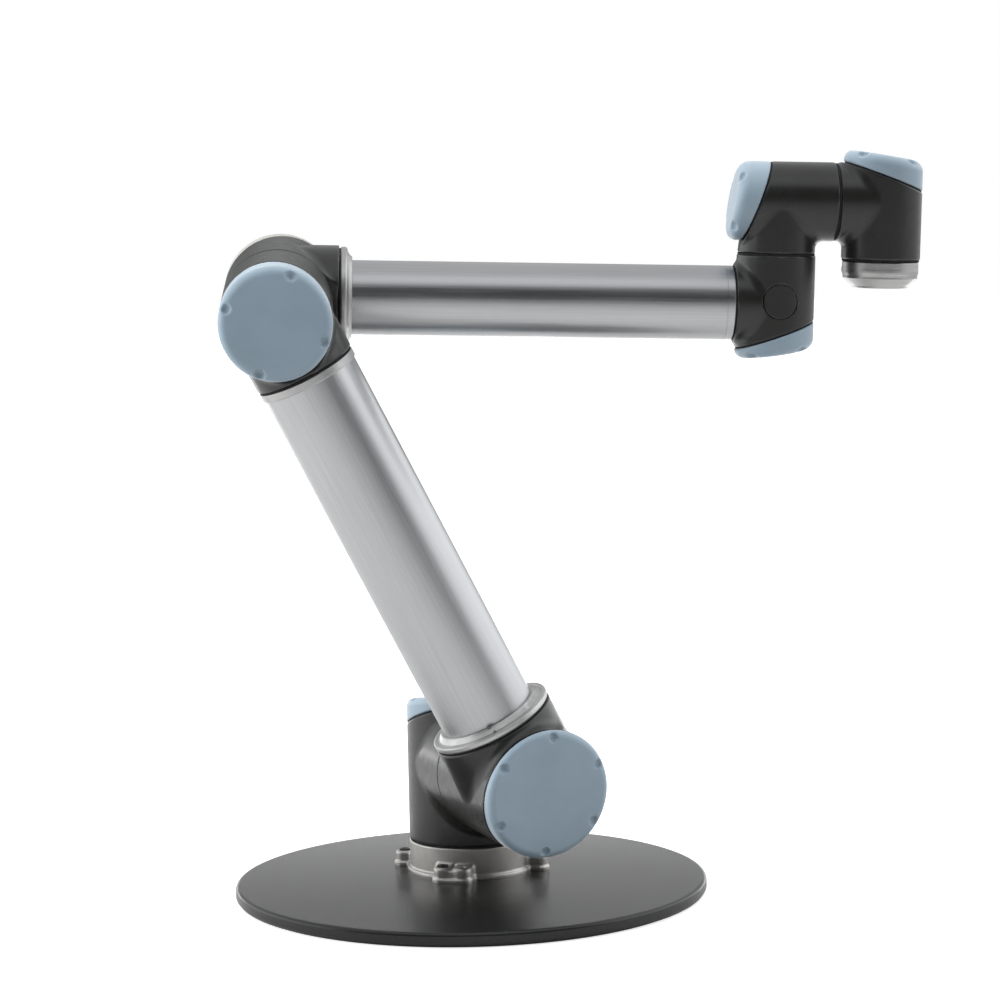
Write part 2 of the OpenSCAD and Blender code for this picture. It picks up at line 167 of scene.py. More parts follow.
def casting_field(m):
    """A joint's casting: a can, and a port at its side that meets it in a fillet."""
    s = m.size
    is_elbow_casting = m is MODULES["casting"]
    floor = -m.seam + (ELBOW_FLOOR if is_elbow_casting else s.web)

    def hollow(p, side, beside):
        x, z = p[:, 0], p[:, 2]
        can = np.maximum(side - s.r + s.wall, floor - z)
        for sx, sy in lid_screws(m):
            can = np.maximum(can, SCREW_BOSS_R - np.hypot(x - sx, p[:, 1] - sy))
        duct = np.maximum(beside - m.port_r + s.wall, x - m.port_out + s.web + 6)
        cable = beside - CABLE_BORE * s.r
        side_ways = np.maximum(np.minimum(duct, cable), -x)
        if m.driver:
            recess = np.maximum(beside - hub_flange_r(m.driver) - HUB_FIT, m.port_out - RECESS - x)
            side_ways = np.minimum(side_ways, recess)
        side_ways = np.maximum(side_ways, floor - z)
        if is_elbow_casting:
            recess = np.maximum(side - hub_flange_r(s) - HUB_FIT, z + m.seam - RECESS)
            shaft = np.minimum(side - CABLE_BORE * s.r, recess)
        else:
            shaft = side - s.hub_r - 0.5
        shaft = np.maximum(shaft, z - floor - 1)
        return np.minimum(np.minimum(can, side_ways), shaft)

    def field(p):
        x, y, z = p.T
        side, beside = np.hypot(x, y), np.hypot(y, z)
        facing = y * y / np.maximum(side * beside, 1)
        can = side - s.r
        port = np.maximum(beside - m.port_r, -x)
        body = join(can, port, s.fillet * (1 - facing * facing))
        body = cut(body, -m.seam - z, EDGE)
        body = cut(body, x - m.port_out, EDGE)
        body = cut(body, tilted(p, m.lid_at, SEAM_SLOPE) + SEAM_GAP, EDGE)
        body = np.maximum(body, -hollow(p, side, beside))
        if m is MODULES["wrist_1"]:
            plug = np.maximum(np.hypot(x, z + PLUG_UP) - PLUG_R - 0.6, y)
            body = cut(body, -plug, 0.5)
        return body

    return field


def lid_field(m):
    """A joint's lid: a wedge with a soft edge, hollow, with a plugged pocket over each screw."""
    s = m.size
    shell = 4

    def field(p):
        x, y, z = p.T
        side = np.hypot(x, y) - s.r
        top = tilted(p, m.lid_face, FACE_SLOPE)
        inner = cut(side + shell, top + shell, s.lid_edge - shell)
        pockets = np.full(len(p), 1e3)
        for sx, sy in lid_screws(m):
            away = np.hypot(x - sx, y - sy)
            inner = np.maximum(inner, LID_BOSS_R - away)
            above = z - m.lid_face - sx * math.tan(FACE_SLOPE)
            pockets = np.minimum(pockets, np.maximum(away - POCKET_R, -POCKET_DEPTH - above))
            dent = np.hypot(np.hypot(x - 1.05 * sx, y - 1.05 * sy), above - 0.4) - 0.62 * s.lid_edge
            pockets = np.minimum(pockets, dent)
        body = cut(side, top, s.lid_edge)
        body = cut(body, SEAM_GAP - tilted(p, m.lid_at, SEAM_SLOPE), EDGE)
        body = np.maximum(body, -inner)
        return cut(body, -pockets, 1.8)

    return field


def plug_field(p):
    """The round plug let flush into the side of the first wrist joint."""
    x, y, z = p.T
    skin = cut(np.hypot(x, y) - SMALL.r, np.hypot(x, z + PLUG_UP) - PLUG_R, 0.8)
    return np.maximum(np.maximum(skin, SMALL.r - SMALL.wall - np.hypot(x, y)), y)


STAND_TOP, FLANGE_TOP, LUG_TOP, FOOT_TOP = 18, 54.7, 35.5, 22
LUG_CIRCLE, LUG_R, DOWEL_PITCH = 85, 11, 24
LUG_HEADINGS = [math.radians(-105 + 90 * i) for i in range(4)]
BOLT_HOLE_R, HEAD_R, HEAD_SEAT, DOWEL_R = 4.25, 7, 31, 4
GLAND_HEADING, GLAND_Z = math.radians(120), 35


def flange_field(p):
    """The base flange: a ring with four bolt lugs, two of them double with a dowel hole."""
    x, y, z = p.T
    side = np.hypot(x, y)
    ring = cut(side - BIG.r, z - FLANGE_TOP, EDGE)
    foot = cut(side - BIG.r - 3, z - FOOT_TOP, 1.5)
    holes = np.maximum(side - BIG.r + 8, z - FLANGE_TOP + 11)
    holes = np.minimum(holes, np.maximum(side - hub_flange_r(BIG) - HUB_FIT, FLANGE_TOP - RECESS - z))
    holes = np.minimum(holes, side - CABLE_BORE * BIG.r)
    for i, heading in enumerate(LUG_HEADINGS):
        out = x * math.cos(heading) + y * math.sin(heading)
        signed = y * math.cos(heading) - x * math.sin(heading)
        half = DOWEL_PITCH / 2 if i % 2 == 0 else 0
        beyond = np.maximum(out - LUG_CIRCLE, 0)
        boss = np.maximum(np.hypot(beyond, np.abs(np.abs(signed) - half)), -out)
        lug = np.maximum(np.hypot(beyond, np.maximum(np.abs(signed) - half, 0)), -out)
        ring = join(ring, cut(boss - LUG_R, z - LUG_TOP, 4), 4)
        if half:
            ring = join(ring, cut(lug - LUG_R + 1.5, z - LUG_TOP + 3, 3), 3)
        foot = join(foot, cut(lug - LUG_R - 2, z - FOOT_TOP, 1.5), 3)
        bolt = np.hypot(out - LUG_CIRCLE, signed + half)
        counterbore = np.maximum(bolt - HEAD_R, HEAD_SEAT - z)
        holes = np.minimum(holes, np.minimum(bolt - BOLT_HOLE_R, counterbore))
        if half:
            holes = np.minimum(holes, np.hypot(out - LUG_CIRCLE, signed - half) - DOWEL_R)
    gland = p @ np.array([math.cos(GLAND_HEADING), math.sin(GLAND_HEADING), 0])
    gland_across = np.hypot(y * math.cos(GLAND_HEADING) - x * math.sin(GLAND_HEADING), z - GLAND_Z)
    holes = np.minimum(holes, np.maximum(gland_across - 8, -gland))
    body = np.maximum(join(ring, foot, 2.5), STAND_TOP - z)
    return cut(body, -holes, 0.8)


TOOL_TOP, TOOL_FACE = -65 - JOINT_GAP, -98
RIM_R, RIM_BOTTOM, CONE_SLOPE = 44, TOOL_TOP - 18, 12 / 10.2
CENTRING_R, TOOL_BORE_R, TOOL_BOLT_CIRCLE, TOOL_BOLT_R, TOOL_DOWEL_R = 15.75, 8, 25, 2.5, 3
TOOL_SEAT_DEPTH, TOOL_BOLT_DEPTH = 6, 10
CONNECTOR_HEADING, CONNECTOR_Z = math.radians(-35), TOOL_TOP - 10


def tool_field(p):
    """The tool flange: its bolt circle, centring bore and dowel hole, and the shaft behind it."""
    x, y, z = p.T
    side = np.hypot(x, y)
    rim = cut(cut(side - RIM_R, z - TOOL_TOP, 1.2), RIM_BOTTOM - z, 7)
    cone = (side - RIM_R - (z - RIM_BOTTOM) * CONE_SLOPE) * math.cos(math.atan(CONE_SLOPE))
    cone = cut(cone, TOOL_FACE + 2 - z, 1.5)
    cone = np.maximum(cone, z - RIM_BOTTOM - 8)
    body = join(rim, np.maximum(cone, side - RIM_R + 1), 1.5)
    body = join(body, cut(side - 31.5, np.maximum(TOOL_FACE - z, z + 90), 1.2), 2)
    body = np.minimum(body, np.maximum(side - SMALL.hub_r, np.maximum(z + 45, TOOL_TOP - 1 - z)))
    below_seat = z - TOOL_FACE - TOOL_SEAT_DEPTH
    holes = np.minimum(side - TOOL_BORE_R, np.maximum(side - CENTRING_R, below_seat))
    for i in range(4):
        a = math.radians(45 + 90 * i)
        bolt = np.hypot(x - TOOL_BOLT_CIRCLE * math.cos(a), y - TOOL_BOLT_CIRCLE * math.sin(a))
        holes = np.minimum(holes, np.maximum(bolt - TOOL_BOLT_R, z - TOOL_FACE - TOOL_BOLT_DEPTH))
    dowel = np.hypot(x + TOOL_BOLT_CIRCLE, y) - TOOL_DOWEL_R
    holes = np.minimum(holes, np.maximum(dowel, below_seat))
    out = x * math.cos(CONNECTOR_HEADING) + y * math.sin(CONNECTOR_HEADING)
    across = y * math.cos(CONNECTOR_HEADING) - x * math.sin(CONNECTOR_HEADING)
    socket = np.maximum(np.hypot(across, z - CONNECTOR_Z) - 5.2, 38 - out)
    return cut(body, -np.minimum(holes, socket), 0.7)


# ---- meshing ----
def slope_of(field, p):
    """Unit normals of a field at points."""
    reach = 0.01
    ways = np.array([[1, -1, -1], [-1, -1, 1], [-1, 1, -1], [1, 1, 1]], float)
    n = sum(way * field(p + reach * way)[:, None] for way in ways)
    return n / np.maximum(np.linalg.norm(n, axis=1, keepdims=True), 1e-12)


def crossings(field, value, low, cell):
    """Where the surface crosses the grid's edges, and the ring of four cells round each edge."""
    stride = np.array([value.shape[1] * value.shape[2], value.shape[2], 1])
    hits, rings = [], []
    for k in range(3):
        a, b = (np.take(value, range(i, value.shape[k] - 1 + i), axis=k) for i in (0, 1))
        at = np.argwhere((a < 0) != (b < 0))
        fa, fb = a[tuple(at.T)], b[tuple(at.T)]
        starts_inside = fa < 0
        near, far = np.zeros(len(at)), np.ones(len(at))
        step = cell * np.eye(3)[k]
        for _ in range(5):
            t = near + (far - near) * np.clip(fa / (fa - fb), 0.1, 0.9)
            ft = field(low + cell * at + t[:, None] * step)
            same = (ft < 0) == starts_inside
            near, far = np.where(same, t, near), np.where(same, far, t)
            fa, fb = np.where(same, ft, fa), np.where(same, fb, ft)
        hits.append(low + cell * at + t[:, None] * step)
        u, v = np.eye(3, dtype=int)[(k + 1) % 3], np.eye(3, dtype=int)[(k + 2) % 3]
        ring = np.stack([at, at - u, at - u - v, at - v], 1) @ stride
        rings.append(np.where(starts_inside[:, None], ring, ring[:, ::-1]))
    return np.vstack(hits), np.vstack(rings)


def contour(field, low, high, cell):
    """Points, triangles and corner normals of a field's surface, with its edges kept sharp."""
    low = np.array(low, float)
    count = np.ceil((np.array(high) - low) / cell).astype(int) + 1
    ticks = [low[k] + cell * np.arange(count[k]) for k in range(3)]
    grid = np.stack(np.meshgrid(*ticks, indexing="ij"), -1).reshape(-1, 3)
    hits, rings = crossings(field, field(grid).reshape(count), low, cell)
    normal = slope_of(field, hits)
    cells, quads = np.unique(rings, return_inverse=True)
    quads = quads.reshape(-1, 4)
    share = np.bincount(quads.ravel())

    def mean(values):
        flat = values.reshape(len(values), -1)
        sums = [np.bincount(quads.ravel(), np.repeat(column, 4)) for column in flat.T]
        return (np.stack(sums, 1) / share[:, None]).reshape((len(share),) + values.shape[1:])

    # each cell's point is the one nearest to all the tangent planes of its crossings; ways in which
    # the planes hardly differ leave it in the middle
    least = 0.05
    middle = mean(hits)
    spread = mean(normal[:, :, None] * normal[:, None, :])
    pull = mean(normal * (normal * hits).sum(1)[:, None]) - np.einsum("nij,nj->ni", spread, middle)
    weight, way = np.linalg.eigh(spread)
    weight = np.where(weight > least, 1 / np.maximum(weight, least), 0)
    points = middle + np.einsum("nij,nj,nkj,nk->ni", way, weight, way, pull)
    corner = low + cell * np.stack(np.unravel_index(cells, count), 1)
    points = np.clip(points, corner, corner + cell)
    for _ in range(3):
        points = points - np.clip(field(points), -cell / 2, cell / 2)[:, None] * slope_of(field, points)
    # each quad is split along the diagonal that lies in the surface
    a, b, c, d = (points[quads[:, i]] for i in range(4))
    straight = np.abs(field((a + c) / 2)) <= np.abs(field((b + d) / 2))
    order = np.where(straight[:, None], [0, 1, 2, 0, 2, 3], [0, 1, 3, 1, 2, 3])
    tris = np.take_along_axis(quads, order, 1).reshape(-1, 3)
    # a corner takes the surface's normal where it stands, or on an edge the one just inside its triangle
    corners = points[tris]
    inward = slope_of(field, (corners * 0.75 + corners.mean(1, keepdims=True) * 0.25).reshape(-1, 3))
    own = slope_of(field, points)[tris.ravel()]
    smooth = (own * inward).sum(1) > math.cos(math.radians(14))
    return points, tris, np.where(smooth[:, None], own, inward)


def rounded(points, steps=6):
    """An outline of (radius, height, rounding) corners as (radius, height) points with arcs."""
    out = []
    for i, (r, z, rounding) in enumerate(points):
        here = Vector((r, z))
        if not rounding:
            out.append(here)
            continue
        back = (Vector(points[i - 1][:2]) - here).normalized()
        on = (Vector(points[(i + 1) % len(points)][:2]) - here).normalized()
        half = back.angle(on) / 2
        reach = rounding / math.tan(half)
        centre = here + (back + on).normalized() * (rounding / math.sin(half))
        first = (here + back * reach - centre).normalized()
        last = (here + on * reach - centre).normalized()
        out += [centre + first.slerp(last, k / steps) * rounding for k in range(steps + 1)]
    return [(p.x, p.y) for p in out]


def turned(points, segments=160, closed=True):
    """Points, faces and corner normals of an outline turned about Z. An outline that isn't closed
    starts and ends on the axis."""
    outline = np.array(rounded(points) if len(points[0]) == 3 else points, float)
    n = len(outline)
    spans = n if closed else n - 1
    way = np.roll(outline, -1, 0) - outline
    length = np.linalg.norm(way, axis=1)
    normal = np.stack([way[:, 1], -way[:, 0]], 1) / np.maximum(length, 1e-9)[:, None]
    angles = 2 * np.pi * np.arange(segments) / segments
    circle = np.stack([np.cos(angles), np.sin(angles)], 1)
    verts = [(r * c, r * s, z) for r, z in outline for c, s in circle]
    faces, normals = [], []

    def blended(i, k):
        """The normal at outline point i on the face of span k, smoothed over gentle turns."""
        other = (i - 1) % n if k == i else i % n
        if other >= spans or normal[k] @ normal[other] < math.cos(math.radians(40)):
            return normal[k]
        both = normal[k] * length[k] + normal[other] * length[other]
        return both / np.linalg.norm(both)

    for k in range(spans):
        top = (k + 1) % n
        n_low, n_top = blended(k, k), blended(k + 1, k)
        for j in range(segments):
            i = (j + 1) % segments
            ring = [(k, j, n_low), (k, i, n_low), (top, i, n_top), (top, j, n_top)]
            if outline[k][0] == 0:
                ring = ring[1:]
            elif outline[top][0] == 0:
                ring = ring[:3]
            faces.append([row * segments + (0 if outline[row][0] == 0 else at) for row, at, _ in ring])
            normals += [(m[0] * circle[at][0], m[0] * circle[at][1], m[1]) for _, at, m in ring]
    return np.array(verts), faces, np.array(normals)


def sloped_ring(m, outer, inner, half):
    """A flat ring that lies in the seam under a joint's lid."""
    segments = 160
    verts, faces = [], []
    for j in range(segments):
        a = 2 * math.pi * j / segments
        for r, side in ((outer, -half), (outer, half), (inner, half), (inner, -half)):
            x, y = r * math.cos(a), r * math.sin(a)
            verts.append((x, y, m.lid_at + x * math.tan(SEAM_SLOPE) + side))
        for k in range(4):
            i, top = (j + 1) % segments, (k + 1) % 4
            faces.append((4 * j + k, 4 * i + k, 4 * i + top, 4 * j + top))
    return np.array(verts), faces, None


def prism(corners, r, low, high, bevel):
    """A prism with chamfered ends, such as a nut, standing on Z."""
    rings = ((r - bevel, low), (r, low + bevel), (r, high - bevel), (r - bevel, high))
    verts = [
        (q * math.cos(2 * math.pi * j / corners), q * math.sin(2 * math.pi * j / corners), z)
        for q, z in rings for j in range(corners)
    ]
    faces = [tuple(range(corners))[::-1], tuple(range(3 * corners, 4 * corners))]
    for k in range(3):
        for j in range(corners):
            i = (j + 1) % corners
            faces.append((k * corners + j, k * corners + i, (k + 1) * corners + i, (k + 1) * corners + j))
    return np.array(verts), faces, None


def strap(outline, low, high):
    """An outline of (radius, height) points as a flat strip, from low to high across the radius."""
    n = len(outline)
    verts = [(r, side, z) for side in (low, high) for r, z in outline]
    faces = [tuple(range(n))[::-1], tuple(range(n, 2 * n))]
    faces += [(k, (k + 1) % n, n + (k + 1) % n, n + k) for k in range(n)]
    return np.array(verts), faces, None


def make(name, shape, place, body, material, slot, replaces=()):
    """A piece from a shape in millimetres, put in its place and made to ride on its body."""
    verts, faces, normals = shape
    used, faces_of = np.unique(np.concatenate([np.ravel(f) for f in faces]), return_inverse=True)
    sizes = [len(f) for f in faces]
    corners = np.split(faces_of, np.cumsum(sizes)[:-1])
    turn = np.array(place.to_3x3())
    points = verts[used] * MM @ turn.T + np.array(place.translation)
    mesh = bpy.data.meshes.new(name)
    mesh.from_pydata(points.tolist(), [], [c.tolist() for c in corners])
    mesh.shade_smooth()
    if normals is None:
        mesh.set_sharp_from_angle(angle=math.radians(30))
    else:
        mesh.normals_split_custom_set(normals @ turn.T)
    mesh.materials.append(material)
    piece = bpy.data.objects.new(name, mesh)
    bpy.context.scene.collection.objects.link(piece)
    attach(piece, body)
    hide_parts(*replaces)


# ---- materials ----
class Nodes:
    """A material's node tree, with the few nodes that every finish here is made of."""

    def __init__(self, name, place=None):
        """With a place, the pattern lies along that part's own axes and not the row frame's."""
        self.material = bpy.data.materials.new(name)
        self.material.use_nodes = True
        self.tree = self.material.node_tree
        self.shader = self.tree.nodes["Principled BSDF"]
        self.place = self.add("ShaderNodeTexCoord").outputs["Object"]
        if place:
            turn = place.to_3x3().inverted().to_euler()
            moved = self.add("ShaderNodeMapping", Vector=self.place, Location=-place.translation)
            turned_back = self.add("ShaderNodeMapping", Vector=moved.outputs[0], Rotation=turn)
            self.place = turned_back.outputs[0]

    def add(self, kind, **inputs):
        node = self.tree.nodes.new(kind)
        for key, value in inputs.items():
            self.feed(node.inputs[key.replace("_", " ")], value)
        return node

    def feed(self, socket, value):
        if isinstance(value, bpy.types.NodeSocket):
            self.tree.links.new(value, socket)
        else:
            socket.default_value = value

    def noise(self, scale, detail=3.0, stretch=(1, 1, 1)):
        """Noise with features of about 1 / scale metres, drawn out along an axis by stretch."""
        mapping = self.add("ShaderNodeMapping", Vector=self.place, Scale=stretch)
        node = self.add("ShaderNodeTexNoise", Vector=mapping.outputs[0], Scale=scale, Detail=detail)
        return node.outputs[0]

    def span(self, value, low, high, to_low, to_high):
        """value between low and high, carried over to a number between to_low and to_high."""
        node = self.add("ShaderNodeMapRange", Value=value, From_Min=low, From_Max=high,
                        To_Min=to_low, To_Max=to_high)
        return node.outputs[0]

    def mix(self, share, a, b):
        node = self.tree.nodes.new("ShaderNodeMix")
        node.data_type = "RGBA"
        for socket, value in ((0, share), (6, a), (7, b)):
            self.feed(node.inputs[socket], value)
        return node.outputs[2]

    def bump(self, height, strength, distance):
        node = self.add("ShaderNodeBump", Height=height, Strength=strength, Distance=distance)
        if self.shader.inputs["Normal"].is_linked:
            self.feed(node.inputs["Normal"], self.shader.inputs["Normal"].links[0].from_socket)
        self.feed(self.shader.inputs["Normal"], node.outputs[0])

    def edges(self, low=0.52, high=0.60):
        """0 on flat ground, up to 1 on edges that stand out."""
        return self.span(self.add("ShaderNodeNewGeometry").outputs["Pointiness"], low, high, 0, 1)

    def surface(self, colour, roughness):
        self.feed(self.shader.inputs["Base Color"], colour)
        self.feed(self.shader.inputs["Roughness"], roughness)

    def constants(self, **values):
        for key, value in values.items():
            self.shader.inputs[key.replace("_", " ")].default_value = value


def shade(colour, factor):
    return (colour[0] * factor, colour[1] * factor, colour[2] * factor, 1)


def moulded_plastic(name, colour, sheen=0.0):
    """Satin moulded plastic: fine spark-eroded grain, faint clouding, edges rubbed lighter."""
    m = Nodes(name)
    clouds = m.noise(14, 4)
    grain = m.noise(2600, 2)
    tone = m.mix(m.span(clouds, 0.3, 0.7, 0, 1), shade(colour, 0.93), shade(colour, 1.07))
    tone = m.mix(m.span(m.noise(420, 5), 0.62, 0.72, 0, 0.14), tone, shade(colour, 0.7))
    tone = m.mix(m.span(m.edges(), 0, 1, 0, 0.35), tone, shade(colour, 1.5))
    m.surface(tone, m.span(m.noise(60, 5), 0.3, 0.7, 0.38, 0.5))
    m.bump(grain, 0.12, 0.00012)
    m.bump(clouds, 0.10, 0.0006)
    m.constants(Specular_IOR_Level=0.5, Sheen_Weight=sheen, Sheen_Roughness=0.4)
    return m.material


def casting_paint(name, colour):
    """Semi-gloss coat on a casting: orange peel, dust in the coat, wear to metal on edges."""
    m = Nodes(name)
    clouds = m.noise(22, 4)
    tone = m.mix(m.span(clouds, 0.3, 0.7, 0, 1), shade(colour, 0.85), shade(colour, 1.15))
    specks = m.span(m.noise(1500, 2), 0.70, 0.76, 0, 0.25)
    tone = m.mix(specks, tone, shade(colour, 2.6))
    rubbed = m.noise(130, 5)
    worn = m.add("ShaderNodeMath", Value=m.edges(0.53, 0.62))
    worn.operation = "MULTIPLY"
    m.feed(worn.inputs[1], m.span(rubbed, 0.45, 0.65, 0, 0.6))
    tone = m.mix(worn.outputs[0], tone, (0.30, 0.29, 0.27, 1))
    m.surface(tone, m.span(m.noise(90, 5), 0.3, 0.7, 0.27, 0.38))
    m.bump(m.noise(900, 2), 0.10, 0.00025)
    m.bump(clouds, 0.12, 0.0008)
    m.constants(Specular_IOR_Level=0.5, Coat_Weight=0.15, Coat_Roughness=0.16)
    return m.material


def drawn_tube(name, colour, place):
    """Anodised tube: fine lines drawn out along it, a few of them deeper, and faint clouds."""
    m = Nodes(name, place)
    lines = m.noise(700, 4, (1, 1, 0.012))
    tone = m.mix(m.span(lines, 0.3, 0.7, 0, 1), shade(colour, 0.92), shade(colour, 1.08))
    tone = m.mix(m.span(m.noise(9, 4), 0.35, 0.7, 0, 0.25), tone, shade(colour, 0.86))
    scuffs = m.span(m.noise(260, 6, (1, 1, 0.15)), 0.68, 0.74, 0, 0.3)
    tone = m.mix(scuffs, tone, shade(colour, 0.7))
    m.surface(tone, m.span(lines, 0.3, 0.7, 0.30, 0.40))
    m.bump(lines, 0.18, 0.00015)
    m.constants(Metallic=1.0, Anisotropic=0.35)
    return m.material


def cast_metal(name, colour, rough=0.42, grain=0.3):
    """Bare casting, lightly blasted: pitted skin, darker in hollows and brighter on edges."""
    m = Nodes(name)
    skin = m.noise(520, 6)
    clouds = m.noise(30, 4)
    tone = m.mix(m.span(clouds, 0.3, 0.7, 0, 1), shade(colour, 0.82), shade(colour, 1.1))
    tone = m.mix(m.span(skin, 0.6, 0.72, 0, 0.35), tone, shade(colour, 0.55))
    tone = m.mix(m.span(m.edges(), 0, 1, 0, 0.5), tone, shade(colour, 1.6))
    m.surface(tone, m.span(skin, 0.3, 0.7, rough - 0.08, rough + 0.1))
    m.bump(skin, grain, 0.0003)
    m.bump(clouds, 0.15, 0.001)
    m.constants(Metallic=0.9)
    return m.material


def turned_metal(name, colour, rough=0.28, place=None):
    """Lathe-turned metal: rings of fine tool marks up its axis, and handling smudges."""
    m = Nodes(name, place)
    marks = m.noise(900, 3, (0.02, 0.02, 1))
    smudges = m.noise(45, 5)
    tone = m.mix(m.span(marks, 0.3, 0.7, 0, 1), shade(colour, 0.9), shade(colour, 1.08))
    tone = m.mix(m.span(m.edges(), 0, 1, 0, 0.5), tone, shade(colour, 1.35))
    m.surface(tone, m.span(smudges, 0.3, 0.7, rough - 0.05, rough + 0.1))
    m.bump(marks, 0.2, 0.0001)
    m.constants(Metallic=1.0)
    return m.material


def powder_coat(name, colour):
    """Satin black powder coat: fine orange peel, dust, faint scratches and a rubbed edge."""
    m = Nodes(name)
    peel = m.noise(650, 3)
    dust = m.span(m.noise(1100, 2), 0.69, 0.74, 0, 0.3)
    clouds = m.noise(7, 5)
    tone = m.mix(m.span(clouds, 0.3, 0.7, 0, 1), shade(colour, 0.9), shade(colour, 1.1))
    tone = m.mix(dust, tone, (0.22, 0.21, 0.20, 1))
    scratches = m.span(m.noise(90, 8, (1, 14, 1)), 0.70, 0.74, 0, 0.35)
    tone = m.mix(scratches, tone, shade(colour, 3.5))
    tone = m.mix(m.span(m.edges(0.53, 0.6), 0, 1, 0, 0.5), tone, shade(colour, 5))
    m.surface(tone, m.span(m.noise(24, 6), 0.3, 0.7, 0.235, 0.265))
    m.bump(peel, 0.10, 0.0001)
    m.constants(Specular_IOR_Level=0.42)
    return m.material


def rubber(name, colour):
    """Matt black rubber with a dusty skin and moulding grain."""
    m = Nodes(name)
    tone = m.mix(m.span(m.noise(160, 5), 0.4, 0.75, 0, 0.5), shade(colour, 1), shade(colour, 3))
    m.surface(tone, m.span(m.noise(80, 4), 0.3, 0.7, 0.62, 0.8))
    m.bump(m.noise(1400, 3), 0.25, 0.00015)
    m.constants(Specular_IOR_Level=0.12)
    return m.material


def windings(name):
    """Copper wire under varnish: fine ridges, with painted shade in the gaps between them."""
    m = Nodes(name)
    wave = m.add("ShaderNodeTexWave", Vector=m.place, Scale=260.0, Distortion=2.5, Detail=3.0)
    # the dark brown end of this mix is painted shade in the gaps between the wires, where the bump below
    # sets them lowest
    tone = m.mix(wave.outputs["Fac"], (0.16, 0.06, 0.02, 1), (0.62, 0.30, 0.12, 1))
    tone = m.mix(m.span(m.noise(50, 4), 0.4, 0.7, 0, 0.4), tone, (0.30, 0.14, 0.06, 1))
    m.surface(tone, m.span(m.noise(70, 4), 0.3, 0.7, 0.25, 0.45))
    m.bump(wave.outputs["Fac"], 0.5, 0.0004)
    m.constants(Metallic=0.85)
    return m.material


LID = moulded_plastic("lid_plastic", (0.235, 0.31, 0.375), sheen=0.4)
SILVER_LID = moulded_plastic("silver_lid_plastic", (0.36, 0.36, 0.335))
PAINT = casting_paint("casting_paint", (0.0125, 0.0135, 0.012))
UPPER_TUBE = drawn_tube("upper_drawn_tube", (0.50, 0.505, 0.515), UPPER)
FORE_TUBE = drawn_tube("forearm_drawn_tube", (0.50, 0.505, 0.515), FORE)
CAST = cast_metal("cast_silver", (0.50, 0.49, 0.465))
RING = cast_metal("ring_silver", (0.50, 0.50, 0.495), rough=0.40, grain=0.12)
MACHINED = turned_metal("machined_aluminium", (0.47, 0.47, 0.465), 0.34, MODULES["wrist_3"].place)
DISC = powder_coat("disc_black", (0.012, 0.012, 0.012))
RUBBER = rubber("black_rubber", (0.012, 0.012, 0.014))
NYLON = moulded_plastic("black_nylon", (0.018, 0.018, 0.019))
STEEL = turned_metal("zinc_steel", (0.42, 0.43, 0.45), rough=0.34)
BLACK_STEEL = turned_metal("black_oxide_steel", (0.06, 0.06, 0.062), rough=0.4)
GEAR_STEEL = turned_metal("gear_steel", (0.38, 0.37, 0.35), rough=0.36)
COPPER = windings("motor_windings")


# ---- joints ----
GRID_MARGIN = 3


def make_joint(name, m):
    s = m.size
    wide, seam_rise = s.r + GRID_MARGIN, s.r * math.tan(SEAM_SLOPE)
    low = (-wide, -wide, -m.seam - GRID_MARGIN)
    high = (max(s.r, m.port_out) + GRID_MARGIN, wide, m.lid_at + seam_rise + GRID_MARGIN)
    casting = "elbow_casting" if name == "casting" else name + "_housing"
    make(casting, contour(casting_field(m), low, high, s.cell), m.place, m.body, PAINT,
         "housing_grey", [casting])
    lid, finish, slot = name + "_lid", LID, "joint_lid"
    if name == "casting":
        finish, slot = SILVER_LID, "silver_lid"
    low = (-wide, -wide, m.lid_at - seam_rise - GRID_MARGIN)
    high = (wide, wide, m.lid_face + s.r * math.tan(FACE_SLOPE) + GRID_MARGIN)
    make(lid, contour(lid_field(m), low, high, min(s.cell, 1.6)), m.place, m.body, finish, slot, [lid])
    make(name + "_lid_gasket", sloped_ring(m, s.r - 1.0, s.r - s.wall + 0.5, SEAM_GAP), m.place,
         m.body, RUBBER, "seal_rubber")


for joint_name, joint_module in MODULES.items():
    make_joint(joint_name, joint_module)
wrist = MODULES["wrist_1"]
make("wrist_1_plug", contour(plug_field, (-22, -48, -26), (22, -38, 18), 1.0), wrist.place,
     wrist.body, PAINT, "housing_grey", ["wrist_1_plug"])

# ---- tubes and their rings ----
UPPER_R, FORE_R = 55.5, 42.8
upper_from, upper_to = MODULES["shoulder"].port_out, UPPER_LEN - MODULES["elbow"].port_out
fore_from, fore_to = MODULES["casting"].port_out, FORE_LEN - MODULES["wrist_1"].port_out


def tube_outline(r, wall, start, end, groove=None):
    outline = [(r - wall, start, 0.5), (r, start, 0.8)]
    if groove:
        outline += [(r, groove - 0.6, 0), (r - 0.5, groove - 0.4, 0), (r - 0.5, groove + 0.4, 0),
                    (r, groove + 0.6, 0)]
    return outline + [(r, end, 0.8), (r - wall, end, 0.5)]


RING_GAP, GASKET_PLAY = 2, 0.05
CLASP_HEADING = math.radians(-16)
make("upper_tube", turned(tube_outline(UPPER_R, 4, upper_from, upper_to), 224), UPPER, "upper_arm",
     UPPER_TUBE, "tube_aluminium", ["upper_tube"])
make("forearm_tube", turned(tube_outline(FORE_R, 3.5, fore_from, fore_to - RING_GAP, fore_to - 11), 192),
     FORE, "forearm", FORE_TUBE, "tube_aluminium", ["forearm_tube"])


def gasket(name, place, body, inner, outer, start, end):
    """A black ring in the gap, from start to end, between a casting and what is bolted to its port."""
    start, end = start + GASKET_PLAY, end - GASKET_PLAY
    outline = [(inner, start, 0), (outer, start, 0), (outer, end, 0), (inner, end, 0)]
    make(name, turned(outline, 160), place, body, RUBBER, "seal_rubber")


